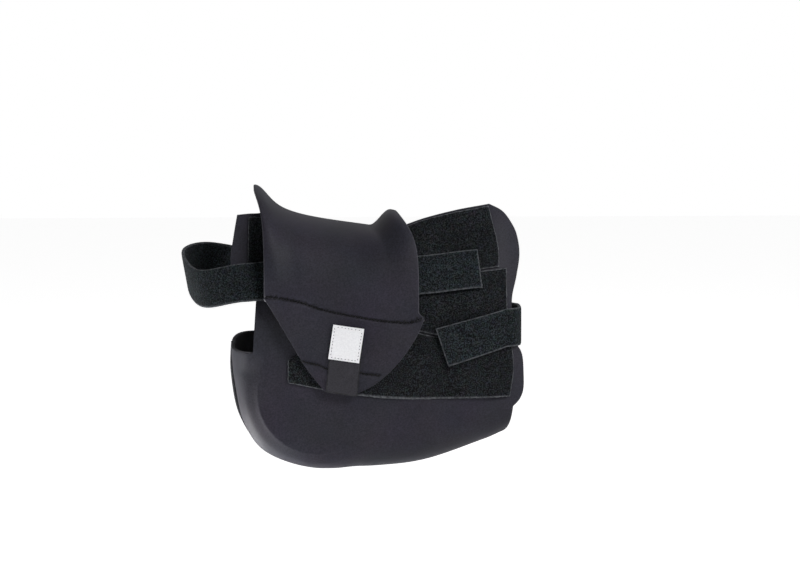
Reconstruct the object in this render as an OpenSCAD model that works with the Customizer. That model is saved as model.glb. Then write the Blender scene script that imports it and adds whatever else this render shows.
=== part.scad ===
// Wrap-on neoprene guard for the mid motor of an e-bike, in the shape it takes on the bike.
// The origin is on the crank axle, midway between the crank arms. +X points to the rear wheel, +Z up,
// and -Y to the side that carries the fastenings, which is the side opposite the drive belt.

/* [Motor hollow] */
// Length of the hollow along the bike, from its front wall to the end of its keel seam
hollow_length = 208; // [192:1:224]
// How far the hollow hangs below the crank axle
hollow_drop = 80; // [74:1:86]
// Clear width of the hollow across the bike, at the crank axle
hollow_width = 132; // [120:2:144]
// How far the sides lean in to the frame tubes at the top, each side
tube_lean = 24; // [16:1:28]
// How far the sides swell outwards at the crank axle
side_swell = 2.5; // [1:0.5:4]

/* [Flap over the motor] */
// Height above the crank axle at which the flap crosses over the motor, at its lowest
crest_height = 107; // [103:1:113]
// How much higher the flap's front corner stands than the crest
front_horn = 20; // [12:1:24]
// How much higher the flap's rear corner stands than the crest
rear_horn = 15; // [8:1:18]

/* [Materials] */
// Thickness of the neoprene
neoprene = 3; // [2:0.5:4]
// Thickness of the loop pile patches
loop_pile = 1.5; // [1:0.25:2]
// Thickness of the hook pads
hook_pad = 1; // [0.75:0.25:1.5]
// Thickness of the two straps
strap_web = 2.5; // [2:0.25:3]
// Clearance between layers that lie on each other
layer_gap = 0.4; // [0.3:0.05:0.5]

/* [Straps] */
// Width of the front band and of the rear strap
strap_width = 29; // [24:1:31]
// Width of the front band where it is sewn to the drive side
band_root_width = 34; // [30:1:37]
// How far the front band stands in front of the hollow, round the down tube
band_reach = 31; // [26:1:38]
// Radius of the rear strap's two bends, behind the side panels
strap_bend = 15; // [14:0.5:18]

/* [Label and pull tab] */
// Width of the blank label
label_width = 24; // [20:0.5:26]
// Height of the blank label
label_height = 27; // [22:0.5:30]
// Thickness of the label
label_thickness = 0.6; // [0.5:0.1:1]
// Width of the pull tab
tab_width = 24.5; // [18:0.5:27]
// Thickness of the pull tab
tab_thickness = 1.2; // [0.8:0.1:1.6]
// How far the pull tab's lower corner hangs past the tip of the flap
tab_overhang = 3; // [1:0.5:6]

/* [Hidden] */

neoprene_black = "#2b2b31";
pile_black = "#15171a";
label_white = "#f2f2f2";

// Layers, each counted outwards from the hollow's own surface
loop_layer = neoprene + layer_gap;
hook_layer = loop_layer + loop_pile + layer_gap;
strap_layer = hook_layer + hook_pad + layer_gap;
flap_layer = strap_layer + strap_web + layer_gap;
tab_layer = neoprene + layer_gap;
label_layer = tab_layer + tab_thickness + layer_gap;

// The pattern is drawn for the middle size. It is graded to the hollow's own length, below the axle to its drop,
// and above the axle to the height of the flap's crest
pattern_length = 208;
pattern_drop = 80;
pattern_crest = 107;
function graded(p) = [
    p[0] * hollow_length / pattern_length,
    p[1] * (p[1] < 0 ? hollow_drop / pattern_drop : crest_height / pattern_crest)];
function graded_all(points) = [for (p = points) graded(p)];
function graded_x(x) = graded([x, 0])[0];
function graded_z(z) = graded([0, z])[1];

function mix(a, b, t) = a + (b - a) * t;
function smooth(t) = let (c = min(1, max(0, t))) c * c * (3 - 2 * c);
function last(list) = list[len(list) - 1];

// Smooth curve through a list of points or numbers, with t from 0 at the first to 1 at the last
function curve(points, t) =
    let (spans = len(points) - 1,
         place = min(1, max(0, t)) * spans,
         i = min(floor(place), spans - 1),
         f = place - i,
         a = points[max(i - 1, 0)],
         b = points[i],
         c = points[i + 1],
         d = points[min(i + 2, spans)])
    0.5 * (2 * b + (c - a) * f + (2 * a - 5 * b + 4 * c - d) * f ^ 2 + (3 * b - a - 3 * c + d) * f ^ 3);

// Point of a cut piece whose four edges are curves: bottom and top run to the rear, front and rear run up
function within(bottom, top, front, rear, u, v) =
    (1 - v) * curve(bottom, u) + v * curve(top, u) + (1 - u) * curve(front, v) + u * curve(rear, v)
    - (1 - u) * (1 - v) * bottom[0] - u * (1 - v) * last(bottom)
    - (1 - u) * v * top[0] - u * v * last(top);

// Sides of the hollow: upright low down, leaning in to the frame tubes above, turning in at the rear edge
lean_start = 35;
lean_height = 90;
swell_length = 105;
swell_height = 78;
rear_turn_start = 84;
rear_turn_rate = 0.0083;
function lean(z) = tube_lean * smooth((z - graded_z(lean_start)) / graded_z(lean_height));
function swell(x, z) =
    side_swell * smooth(1 - norm([x / graded_x(swell_length), z / graded_z(swell_height)]));
function rear_turn(x) = rear_turn_rate * max(0, x - graded_x(rear_turn_start)) ^ 2;
function side_depth(x, z) = hollow_width / 2 + swell(x, z) - lean(z) - rear_turn(x);

// A point of the side pattern, laid on the near side of the hollow at a layer
function on_side(p, layer) = [p[0], -side_depth(p[0], p[1]) - layer, p[1]];

// Keel seam, the line where the near side's face starts to turn under, and the panels' top edges
keel = graded_all([[-109, 16], [-109.5, -9], [-103, -43], [-83, -65], [-44, -79], [0, -82], [44, -76], [98, -58]]);
turn_line = graded_all([[-93, 16], [-94.5, -6], [-91, -30], [-77, -51], [-42, -65], [2, -54], [50, -38],
                        [110, -28]]);
near_top = graded_all([[-89.5, 69], [-72, 65.5], [-50, 59], [-25, 51], [5, 41.5], [38, 31], [75, 26.5],
                       [108, 24]]);
drive_top = graded_all([[-89.5, 50], [-74, 52], [-58, 58], [-30, 74], [5, 80], [40, 76], [72, 68], [99, 56]]);
// How square the turn from the side to the underside is, along the keel
squareness = [2.8, 3, 3.4, 3.4, 3.2, 2.7, 2.3, 2.1];

function keel_out(u) =
    let (step = 0.01,
         along = curve(keel, min(1, u + step)) - curve(keel, max(0, u - step)))
    [along[1], -along[0]] / norm(along);

// How far the corner of the rear opening, between the keel and the side, is rounded out
rear_rounding = 4;

// Underside and turn of a half bowl: h runs from 0 at the keel to 1 at the line where the side starts
function turned(u, h, layer) =
    let (side = curve(turn_line, u),
         power = 2 / curve(squareness, u),
         angle = 90 * h,
         in_plane = mix(curve(keel, u) + keel_out(u) * layer, side, 1 - cos(angle) ^ power),
         across = (side_depth(side[0], side[1]) + layer) * sin(angle) ^ power)
    [in_plane[0] + rear_rounding * sin(180 * h) * smooth(3 * u - 2), -across, in_plane[1]];

// Side face of a half bowl: h runs from 0 at the turn line to 1 at the top edge
function faced(top, bulge, u, h, layer) =
    let (out = graded_x(bulge) * 4 * h * (1 - h) * smooth(3 * u - 2))
    on_side(mix(curve(turn_line, u), curve(top, u), h) + [out, 0], layer);

// Closed solid between an inner and an outer grid of points, both with rows going up and columns going along
module sheet(inner, outer) {
    rows = len(outer) - 1;
    cols = len(outer[0]) - 1;
    count = (rows + 1) * (cols + 1);
    function o(i, j) = i * (cols + 1) + j;
    function n(i, j) = count + o(i, j);
    function two(a, b, c, d) = [[a, b, c], [a, c, d]];
    faces = concat(
        [for (i = [0:rows - 1], j = [0:cols - 1]) each two(o(i, j), o(i + 1, j), o(i + 1, j + 1), o(i, j + 1))],
        [for (i = [0:rows - 1], j = [0:cols - 1]) each two(n(i, j), n(i, j + 1), n(i + 1, j + 1), n(i + 1, j))],
        [for (j = [0:cols - 1]) each two(o(0, j), o(0, j + 1), n(0, j + 1), n(0, j))],
        [for (j = [0:cols - 1]) each two(o(rows, j + 1), o(rows, j), n(rows, j), n(rows, j + 1))],
        [for (i = [0:rows - 1]) each two(o(i + 1, 0), o(i, 0), n(i, 0), n(i + 1, 0))],
        [for (i = [0:rows - 1]) each two(o(i, cols), o(i + 1, cols), n(i + 1, cols), n(i, cols))]);
    polyhedron(points = concat([for (row = outer) each row], [for (row = inner) each row]), faces = faces,
               convexity = 8);
}

// A piece cut to four edge curves and laid on the near side at a layer
module laid_piece(bottom, top, front, rear, layer, thickness, rows, cols) {
    function grid(level) =
        [for (i = [0:rows]) [for (j = [0:cols])
            on_side(within(bottom, top, front, rear, j / cols, i / rows), level)]];
    sheet(grid(layer), grid(layer + thickness));
}

// Half of the bowl, up to a given top edge, with its rear edge bulging a given amount
near_bulge = 9.5;
drive_bulge = 2;
module half_bowl(top, bulge) {
    stations = 30;
    turn_rows = 8;
    face_rows = 9;
    function grid(level) = concat(
        [for (i = [0:turn_rows]) [for (j = [0:stations]) turned(j / stations, i / turn_rows, level)]],
        [for (i = [1:face_rows]) [for (j = [0:stations]) faced(top, bulge, j / stations, i / face_rows, level)]]);
    sheet(grid(0), grid(neoprene));
}

module near_side_panel() color(neoprene_black) half_bowl(near_top, near_bulge);

module drive_side_panel() color(neoprene_black) mirror([0, 1, 0]) half_bowl(drive_top, drive_bulge);

// Joint between the near side panel and the pieces sewn to its top edge
joint_gap = 0.3;
function above_near_top(u) = curve(near_top, u) + [0, joint_gap];

ear_front = graded_all([[-90.5, 69.6], [-104, 76], [-110, 86], [-108, 104], [-105, 121.5]]);
ear_top = graded_all([[-105, 121.5], [-92, 122.5], [-80, 121], [-58, 105]]);
ear_right_u = 0.222;

module front_ear() {
    bottom = concat([ear_front[0]], [for (k = [1:3]) above_near_top(k * ear_right_u / 3)]);
    rear = [last(bottom), last(ear_top)];
    color(neoprene_black) laid_piece(bottom, ear_top, ear_front, rear, 0, neoprene, 8, 7);
}

module ear_loop_patch() {
    low = graded([-97, 76]);
    high = graded([-96, 120]);
    rear_low = graded([-61, 72]);
    rear_high = graded([-61, 105]);
    mid_high = graded([-80, 118.5]);
    color(pile_black)
        laid_piece([low, rear_low], [high, mid_high, rear_high], [low, high], [rear_low, rear_high], loop_layer,
                   loop_pile, 6, 5);
}

wing_front_u = 0.582;
wing_rear = graded_all([[108, 24.6], [108.5, 42], [109, 58], [113, 73], [116.3, 90], [114, 106], [109.5, 116.5],
                        [103, 124.5], [94, 129]]);
wing_top_front = graded([10, 100]);

module rear_wing() {
    bottom = concat([for (k = [0:3]) above_near_top(mix(wing_front_u, 0.97, k / 3))], [wing_rear[0]]);
    top = [wing_top_front, graded([38, 117.5]), graded([66, 125.5]), last(wing_rear)];
    front = [bottom[0], top[0]];
    color(neoprene_black) laid_piece(bottom, top, front, wing_rear, 0, neoprene, 12, 14);
}

// Edges shared by the loop patches of the wing, with the slit between them
slit = 1;
slit_line = graded_all([[13, 70], [50, 75], [99, 81]]);

module upper_loop_patch() {
    top = graded_all([[13, 99], [30, 112], [62, 122], [91, 127.5]]);
    rear = [last(slit_line), graded([98.5, 99]), last(top)];
    color(pile_black)
        laid_piece(slit_line, top, [slit_line[0], top[0]], rear, loop_layer, loop_pile, 6, 12);
}

module middle_loop_patch() {
    bottom = graded_all([[13, 39.5], [38, 32], [50, 29.5], [75, 27.5], [105, 25.5]]);
    top = [slit_line[0] - [0, slit], slit_line[1] - [0, slit], graded([105, 80])];
    rear = [last(bottom), graded([104.5, 52]), last(top)];
    color(pile_black) laid_piece(bottom, top, [bottom[0], top[0]], rear, loop_layer, loop_pile, 6, 12);
}

module lower_loop_patch() {
    bottom = graded_all([[-66, -7], [-37, -13], [-6, -18], [24, -20.5], [52, -20.5], [80, -20.3], [107, -20]]);
    top = graded_all([[-66, 11], [-40, 22], [-10, 31], [16, 35], [50, 28], [80, 25], [108, 22.5]]);
    rear = [last(bottom), graded([110, 2]), last(top)];
    color(pile_black) laid_piece(bottom, top, [bottom[0], top[0]], rear, loop_layer, loop_pile, 6, 24);
}

// Front band: from its root on the drive side, round the down tube, to its free end on the wing
band_turn_x = graded_x(-100);
band_root_x = graded_x(-66);
band_end_x = graded_x(82);
band_end_slant = 3;
band_front_lean = 0.18;
near_band_top = graded_all([[-100, 85], [-60, 89], [-12, 89], [34, 90.5], [82, 96]]);
turn_band_top = [for (z = [88, 94, 90, 79, 85]) graded_z(z)];

function band_top(x) =
    curve([for (p = near_band_top) p[1]], (x - band_turn_x) / (band_end_x - band_turn_x));

// Near stretch: v runs from 0 at the lower edge to 1 at the upper edge
function band_near(x, v, layer) =
    let (z = band_top(x) - strap_width * (1 - v),
         slant = (1 - v) * band_end_slant * smooth((x - band_turn_x) / (band_end_x - band_turn_x)))
    on_side([x + slant, z], layer);

// Turn round the down tube: t runs from 0 on the drive side to 1 on the near side
function band_turn(t, v, thick) =
    let (top = curve(turn_band_top, t),
         z = top - mix(band_root_width, strap_width, smooth(1.6 * t)) * (1 - v),
         layer = mix(0, strap_layer, smooth(t)) + thick,
         angle = 180 * t,
         reach = band_reach + graded_x(-100 + 111) + band_front_lean * (z - graded_z(70)))
    [band_turn_x - (reach + layer) * sin(angle), (side_depth(band_turn_x, z) + layer) * cos(angle), z];

// Root on the drive side: t runs from 0 at the sewn edge to 1 where the band leaves the side
function band_root(t, v, thick) =
    let (x = mix(band_root_x, band_turn_x, t),
         top = mix(graded_z(84), turn_band_top[0], t),
         seat = curve(drive_top, (x - drive_top[0][0]) / (drive_top[2][0] - drive_top[0][0]) * 2 / 7)[1],
         low = mix(seat + joint_gap + 0.4, top - band_root_width, smooth(t * 1.2)),
         z = mix(low, top, v))
    [x, side_depth(x, z) + thick, z];

module front_band() {
    rows = 4;
    root_cols = 4;
    turn_cols = 18;
    near_cols = 22;
    function grid(thick) =
        [for (i = [0:rows]) let (v = i / rows) concat(
            [for (k = [0:root_cols - 1]) band_root(k / root_cols, v, thick)],
            [for (k = [0:turn_cols - 1]) band_turn(k / turn_cols, v, thick)],
            [for (k = [0:near_cols])
                band_near(mix(band_turn_x, band_end_x, k / near_cols), v, strap_layer + thick)])];
    color(pile_black) sheet(grid(0), grid(strap_web));
}

hook_margin = 0.1;
band_pad_length = 33;
pad_inset = 3;

module front_band_hook_pad() {
    rows = 3;
    cols = 6;
    from = band_end_x - pad_inset - band_pad_length;
    to = band_end_x - pad_inset;
    function grid(level) =
        [for (i = [0:rows]) [for (k = [0:cols])
            band_near(mix(from, to, k / cols), mix(hook_margin, 1 - hook_margin, i / rows), level)]];
    color(pile_black) sheet(grid(hook_layer), grid(hook_layer + hook_pad));
}

// Rear strap: from its free end on the near side, round the seat tube, to its root on the drive side
strap_start_x = graded_x(48);
strap_turn_x = graded_x(104);
strap_root_x = graded_x(58);
strap_end_slant = 10;
strap_end_top = 35;
strap_rise = 0.262;
strap_back_bow = 2;
far_layer = loop_layer + 0.8;

function strap_z(x, v) =
    graded_z(strap_end_top) + strap_rise * (x - strap_start_x) - strap_width * 1.03 * (1 - v);

function strap_near(x, v, layer) =
    let (slant = (1 - v) * strap_end_slant * (1 - (x - strap_start_x) / (strap_turn_x - strap_start_x)))
    on_side([x + slant, strap_z(x, v)], layer);

// Bend of the strap: it leaves a side at that side's own slope and ends straight across the bike
strap_slope = atan(2 * rear_turn_rate * max(0, strap_turn_x - graded_x(rear_turn_start)));
function strap_bent(angle, z, layer, thick) =
    let (side = side_depth(strap_turn_x, z) + layer,
         centre = [strap_turn_x - strap_bend * sin(strap_slope), side - strap_bend * cos(strap_slope)])
    centre + (strap_bend + thick) * [sin(angle), cos(angle)];

module rear_strap() {
    rows = 3;
    near_cols = 9;
    bend_cols = 6;
    back_cols = 6;
    root_cols = 6;
    function grid(thick) =
        [for (i = [0:rows])
            let (v = i / rows,
                 z = strap_z(strap_turn_x, v),
                 near = [for (k = [0:bend_cols])
                     strap_bent(mix(strap_slope, 90, k / bend_cols), z, strap_layer, thick)],
                 far = [for (k = [0:bend_cols])
                     strap_bent(mix(90, strap_slope, k / bend_cols), z, far_layer, thick)])
            concat(
                [for (k = [0:near_cols - 1])
                    strap_near(mix(strap_start_x, strap_turn_x, k / near_cols), v, strap_layer + thick)],
                [for (p = near) [p[0], -p[1], z]],
                [for (k = [1:back_cols - 1])
                    let (f = k / back_cols)
                    [mix(last(near)[0], far[0][0], f) + strap_back_bow * sin(180 * f),
                     mix(-last(near)[1], far[0][1], f), z]],
                [for (p = far) [p[0], p[1], z]],
                [for (k = [1:root_cols])
                    let (x = mix(strap_turn_x, strap_root_x, k / root_cols),
                         layer = mix(far_layer, loop_layer, smooth(2 * k / root_cols)))
                    [x, side_depth(x, z) + layer + thick, z]])];
    color(pile_black) sheet(grid(0), grid(strap_web));
}

module rear_strap_hook_pad() {
    rows = 3;
    cols = 5;
    from = strap_start_x + pad_inset;
    to = graded_x(86);
    function grid(level) =
        [for (i = [0:rows]) [for (k = [0:cols])
            strap_near(mix(from, to, k / cols), mix(hook_margin, 1 - hook_margin, i / rows), level)]];
    color(pile_black) sheet(grid(hook_layer), grid(hook_layer + hook_pad));
}

// Flap: it rises from the drive side, crosses the motor and comes down on the near side
flap_front_x = graded_x(-84);
flap_rear_x = graded_x(35);
flap_shoulder = graded_z(38);
flap_lap = graded_z(60);
flap_far_shoulder = graded_z(78);
front_flare = 9;
rear_draw = 14;
crest_fall = 16;

function flap_crest(u) =
    crest_height + crest_fall * (0.8 - u) + front_horn * (1 - smooth(u / 0.25))
    + rear_horn * smooth((u - 0.84) / 0.14);

// x of the flap's grid lines: h runs from 0 at the shoulder to 1 at the crest
function flap_x(u, h) =
    mix(flap_front_x - front_flare * h ^ 6, flap_rear_x - rear_draw * h ^ 6, u);

// The flap's arch is squarer towards its rear edge
function flap_square(u) = mix(3, 4.4, smooth(2.5 * u - 1.5));
function flap_bulge(u, h) = (1 - min(1, max(0, h)) ^ flap_square(u)) ^ (1 / flap_square(u));

// The flap sinks from the strap's layer to the hook pad's layer towards its tip
function flap_level(z) = mix(strap_layer, flap_layer, smooth(z / graded_z(50)));

function flap_near_depth(u, x, z, h, thick) =
    let (low = min(z, flap_shoulder))
    (side_depth(x, low) + flap_level(low) + thick) * flap_bulge(u, h);

seam = graded_all([[-84, 60], [-72, 59], [-56, 56], [-45, 52], [-30, 48], [-14, 45], [3, 42], [18, 40.3],
                   [28, 40], [39, 43]]);

function flap_share(u, z, thick) =
    max(0, z - flap_shoulder) / (flap_crest(u) + thick - flap_shoulder);

// Near half of the flap: g runs from 0 at the seam to 1 at the crest
function flap_near(u, g, thick) =
    let (low = flap_share(u, curve(seam, u)[1], thick),
         start = asin(low ^ (flap_square(u) / 2)),
         h = sin(mix(start, 90, g)) ^ (2 / flap_square(u)),
         z = flap_shoulder + h * (flap_crest(u) + thick - flap_shoulder),
         x = mix(curve(seam, u)[0], flap_x(u, h), smooth(9 * g)))
    [x, -flap_near_depth(u, x, z, h, thick), z];

// Drive side half of the flap: g runs from 0 at the crest to 1 at the edge sewn to the panel
function flap_far(u, g, thick) =
    let (low = flap_share(u, flap_lap, thick),
         end = asin(low ^ (flap_square(u) / 2)),
         h = sin(mix(90, end, g)) ^ (2 / flap_square(u)),
         z = flap_shoulder + h * (flap_crest(u) + thick - flap_shoulder),
         x = flap_x(u, h),
         start = flap_share(u, flap_far_shoulder, 0),
         arch = (1 - min(1, max(0, (h - start) / (1 - start))) ^ 2.4) ^ (1 / 2.4))
    [x, (side_depth(x, z) + loop_layer + thick) * arch, z];

module top_flap() {
    half_rows = 12;
    cols = 16;
    function grid(thick) = concat(
        [for (i = [0:half_rows]) [for (j = [0:cols]) flap_near(j / cols, i / half_rows, thick)]],
        [for (i = [1:half_rows]) [for (j = [0:cols]) flap_far(j / cols, i / half_rows, thick)]]);
    color(neoprene_black) sheet(grid(0), grid(neoprene));
}

tip_front = graded_all([[-38, -12.5], [-52, 5.5], [-64.5, 27], [-76, 47], [-84, 60]]);
tip_rear = graded_all([[-11, -14], [4, -5.5], [20, 10], [33, 29], [39, 43]]);
tip_bottom = [tip_front[0], graded([-25, -15]), tip_rear[0]];

function tip_point(u, v, thick) =
    let (p = within(tip_bottom, seam, tip_front, tip_rear, u, v),
         z = p[1] - joint_gap,
         h = flap_share(u, z, thick))
    [p[0], -flap_near_depth(u, p[0], z, h, thick), z];

module flap_tip() {
    rows = 10;
    cols = 14;
    function grid(thick) = [for (i = [0:rows]) [for (j = [0:cols]) tip_point(j / cols, i / rows, thick)]];
    color(neoprene_black) sheet(grid(0), grid(neoprene));
}

module flap_tip_hook_pad() {
    rows = 3;
    cols = 6;
    function grid(level) =
        [for (i = [0:rows]) [for (j = [0:cols])
            let (p = tip_point(mix(0.08, 0.92, j / cols), mix(0.04, 0.3, i / rows), 0))
            on_side([p[0], p[2]], level)]];
    color(pile_black) sheet(grid(hook_layer), grid(hook_layer + hook_pad));
}

// A piece laid on the outside of the flap's tip: its place along and up from its lower front corner
label_corner = graded([-35, 12.7]);
label_turn = -8.5;
function on_tip(p, thick) =
    let (u = (p[0] - flap_front_x) / (flap_rear_x - flap_front_x),
         h = flap_share(u, p[1], thick))
    [p[0], -flap_near_depth(u, p[0], p[1], h, thick), p[1]];

function label_place(across, up) =
    label_corner + across * [cos(label_turn), sin(label_turn)] + up * [-sin(label_turn), cos(label_turn)] * 1;

module blank_label() {
    rows = 4;
    cols = 4;
    function grid(thick) =
        [for (i = [0:rows]) [for (j = [0:cols])
            on_tip(label_place(label_width * j / cols, label_height * i / rows), thick)]];
    color(label_white) sheet(grid(label_layer), grid(label_layer + label_thickness));
}

module pull_tab() {
    rows = 8;
    cols = 4;
    top = label_place((label_width - tab_width) / 2, label_height - 3);
    foot = [label_corner[0] - 2, tip_rear[0][1] - tab_width * sin(label_turn) - tab_overhang];
    function grid(thick) =
        [for (i = [0:rows]) [for (j = [0:cols])
            on_tip(mix(foot, top, i / rows) + tab_width * j / cols * [cos(label_turn), sin(label_turn)], thick)]];
    color(neoprene_black) sheet(grid(tab_layer), grid(tab_layer + tab_thickness));
}

near_side_panel();
drive_side_panel();
front_ear();
rear_wing();
ear_loop_patch();
upper_loop_patch();
middle_loop_patch();
lower_loop_patch();
front_band();
front_band_hook_pad();
rear_strap();
rear_strap_hook_pad();
top_flap();
flap_tip();
flap_tip_hook_pad();
pull_tab();
blank_label();
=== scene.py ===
import math
import random
import bpy
import bmesh
import numpy as np
from mathutils import Matrix, Vector, noise


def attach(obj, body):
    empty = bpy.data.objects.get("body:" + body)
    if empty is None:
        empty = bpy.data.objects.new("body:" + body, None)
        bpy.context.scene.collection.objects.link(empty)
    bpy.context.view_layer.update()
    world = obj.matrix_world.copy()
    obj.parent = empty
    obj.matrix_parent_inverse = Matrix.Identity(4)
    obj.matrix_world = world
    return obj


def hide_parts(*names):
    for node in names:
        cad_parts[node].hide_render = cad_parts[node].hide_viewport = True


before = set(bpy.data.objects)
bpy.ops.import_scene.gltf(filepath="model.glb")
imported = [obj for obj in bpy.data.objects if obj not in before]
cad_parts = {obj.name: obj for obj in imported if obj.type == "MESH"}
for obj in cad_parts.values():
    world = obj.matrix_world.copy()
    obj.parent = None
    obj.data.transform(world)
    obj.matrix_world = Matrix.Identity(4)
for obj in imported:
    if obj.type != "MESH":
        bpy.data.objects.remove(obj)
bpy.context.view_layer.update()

mm = 0.001
print("camera")

# camera, at the photograph's viewing angle, all lengths in mm
cameraView = {"azimuth": -3.0, "elevation": 6.0, "distance": 1500.0, "lens": 83.03,
              "aimRight": 24.4, "aimUp": 59.3}
turnAngle = math.radians(cameraView["azimuth"])
riseAngle = math.radians(cameraView["elevation"])
backward = Vector((math.sin(turnAngle) * math.cos(riseAngle), -math.cos(turnAngle) * math.cos(riseAngle),
                   math.sin(riseAngle)))
rightward = (-backward).cross(Vector((0, 0, 1))).normalized()
upward = rightward.cross(-backward)
aim = rightward * cameraView["aimRight"] + upward * cameraView["aimUp"]
cameraData = bpy.data.cameras.new("camera")
cameraData.lens = cameraView["lens"]
cameraData.sensor_width = 36
camera = bpy.data.objects.new("camera", cameraData)
camera.location = (aim + backward * cameraView["distance"]) * mm
camera.rotation_euler = (-backward).to_track_quat("-Z", "Y").to_euler()
bpy.context.collection.objects.link(camera)
bpy.context.scene.camera = camera


# small helpers for the pattern, everything in mm and on whole arrays of points
def mix(a, b, t):
    return a + (b - a) * t


def smooth(t):
    c = np.clip(t, 0, 1)
    return c * c * (3 - 2 * c)


def curve(points, t):
    # smooth curve through points or numbers, t from 0 at the first to 1 at the last
    pts = np.array(points, float)
    spans = len(pts) - 1
    place = np.clip(np.asarray(t, float), 0, 1) * spans
    i = np.minimum(np.floor(place).astype(int), spans - 1)
    f = place - i
    if pts.ndim == 2:
        f = f[..., None]
    a, b, c, d = pts[np.maximum(i - 1, 0)], pts[i], pts[i + 1], pts[np.minimum(i + 2, spans)]
    return 0.5 * (2 * b + (c - a) * f + (2 * a - 5 * b + 4 * c - d) * f ** 2 + (3 * b - a - 3 * c + d) * f ** 3)


def within(bottom, top, front, rear, u, v):
    # point of a cut piece whose four edges are curves
    lo, hi, us, vs = np.array(bottom, float), np.array(top, float), u[:, None], v[:, None]
    return ((1 - vs) * curve(bottom, u) + vs * curve(top, u) + (1 - us) * curve(front, v) + us * curve(rear, v)
            - (1 - us) * (1 - vs) * lo[0] - us * (1 - vs) * lo[-1] - (1 - us) * vs * hi[0] - us * vs * hi[-1])


def speckle(points, size, seed=0.0):
    # soft noise from about -1 to 1 with grains of a size in mm
    return np.array([noise.noise(Vector(p) / size + Vector((seed, 3.1 * seed, -seed))) for p in points]) * 1.6


def crease(x, z, start, end, width, height):
    # a soft fold or hollow along a line on a side, faded at both ends
    start, end = np.array(start, float), np.array(end, float)
    along = end - start
    length = np.hypot(*along)
    px, pz = x - start[0], z - start[1]
    t = (px * along[0] + pz * along[1]) / length ** 2
    off = (px * along[1] - pz * along[0]) / length
    fade = smooth(t * 4 + 0.5) * smooth((1 - t) * 4 + 0.5)
    return height * np.exp(-(off / width) ** 2) * fade


# the guard's sides
guard = {"hollowWidth": 132, "topLean": 24, "sideSwell": 2.5, "rearTurnFrom": 84, "rearTurnRate": 0.0083,
         "neoprene": 3, "loopPile": 1.5, "hookPad": 1, "strapWeb": 2.5, "layerGap": 0.4, "strapWidth": 29}
# how far each layer's underside stands off the lining of the side
loopLayer = guard["neoprene"] + guard["layerGap"]
hookLayer = loopLayer + guard["loopPile"] + guard["layerGap"]
strapLayer = hookLayer + guard["hookPad"] + guard["layerGap"]
flapLayer = strapLayer + guard["strapWeb"] + guard["layerGap"]
tabLayer = guard["neoprene"] + guard["layerGap"]


def sideDepth(x, z):
    # half the hollow's width: it leans in above, swells in the middle and turns in at the rear
    lean = guard["topLean"] * smooth((z - 35) / 90)
    swell = guard["sideSwell"] * smooth(1 - np.hypot(x / 105, z / 78))
    rearTurn = guard["rearTurnRate"] * np.maximum(0, x - guard["rearTurnFrom"]) ** 2
    return guard["hollowWidth"] / 2 + swell - lean - rearTurn


def onSide(p, layer):
    return np.stack([p[:, 0], -sideDepth(p[:, 0], p[:, 1]) - layer, p[:, 1]], -1)


# outlines on the side as (x, z), each from the front to the rear
keel = [[-109, 16], [-109.5, -9], [-103, -43], [-84.5, -68.6], [-47.5, -82], [0, -80.4], [44, -75], [98, -54.5]]
turnLine = [[-93, 16], [-94.5, -6], [-91, -30], [-77, -51], [-42, -65], [2, -54], [50, -38], [110, -28]]
nearTop = [[-89.5, 69], [-72, 65.5], [-50, 59], [-25, 51], [5, 41.5], [38, 31], [75, 26.5], [108, 24]]
driveTop = [[-89.5, 50], [-74, 52], [-58, 58], [-30, 74], [5, 80], [40, 76], [72, 68], [99, 56]]
squareness = [2.8, 3, 3.4, 3.4, 3.2, 2.7, 2.3, 2.1]  # 2 is a round turn, more is squarer
turnShare = 0.46  # part of a panel's height that the turn underneath takes up


def bowl(top, bulge, relief, u, v, layer):
    # half of the bowl: v runs from the keel seam round the turn, then up the side to the top edge
    t = np.clip(v / turnShare, 0, 1)
    h = np.clip((v - turnShare) / (1 - turnShare), 0, 1)
    rearOnly = smooth(3 * u - 2)
    along = curve(keel, np.minimum(1, u + 0.01)) - curve(keel, np.maximum(0, u - 0.01))
    out = np.stack([along[:, 1], -along[:, 0]], -1) / np.hypot(along[:, 0], along[:, 1])[:, None]
    side = curve(turnLine, u)
    q = curve(squareness, u)
    m = 0.5 ** (1 / q)
    low = t < 0.5
    across = np.where(low, 2 * t * m, 0)
    inPlane = np.where(low, (1 - across ** q) ** (1 / q), 2 * (1 - t) * m)
    across = np.where(low, across, (1 - np.clip(inPlane, 0, 1) ** q) ** (1 / q))
    onTurn = v < turnShare
    rough = np.where(onTurn[:, None], mix(curve(keel, u), side, (1 - inPlane)[:, None]),
                     mix(side, curve(top, u), h[:, None]))
    level = layer + relief(rough[:, 0], rough[:, 1], v)
    plane = mix(curve(keel, u) + out * level[:, None], side, (1 - inPlane)[:, None])
    rounding = 4 * np.sin(2 * np.arctan2(across ** (q / 2), inPlane ** (q / 2))) * rearOnly
    turned = np.stack([plane[:, 0] + rounding, -(sideDepth(side[:, 0], side[:, 1]) + level) * across, plane[:, 1]], -1)
    face = mix(side, curve(top, u), h[:, None])
    face[:, 0] += bulge * (1 - (2 * h - 1) ** 4) * rearOnly
    return np.where(onTurn[:, None], turned, onSide(face, level))


# cloth: a grid whose points are laid in place, then given its thickness
def edgeDistance(u, v, flat):
    return np.minimum(np.minimum(u, 1 - u) * flat[0], np.minimum(v, 1 - v) * flat[1])


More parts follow.
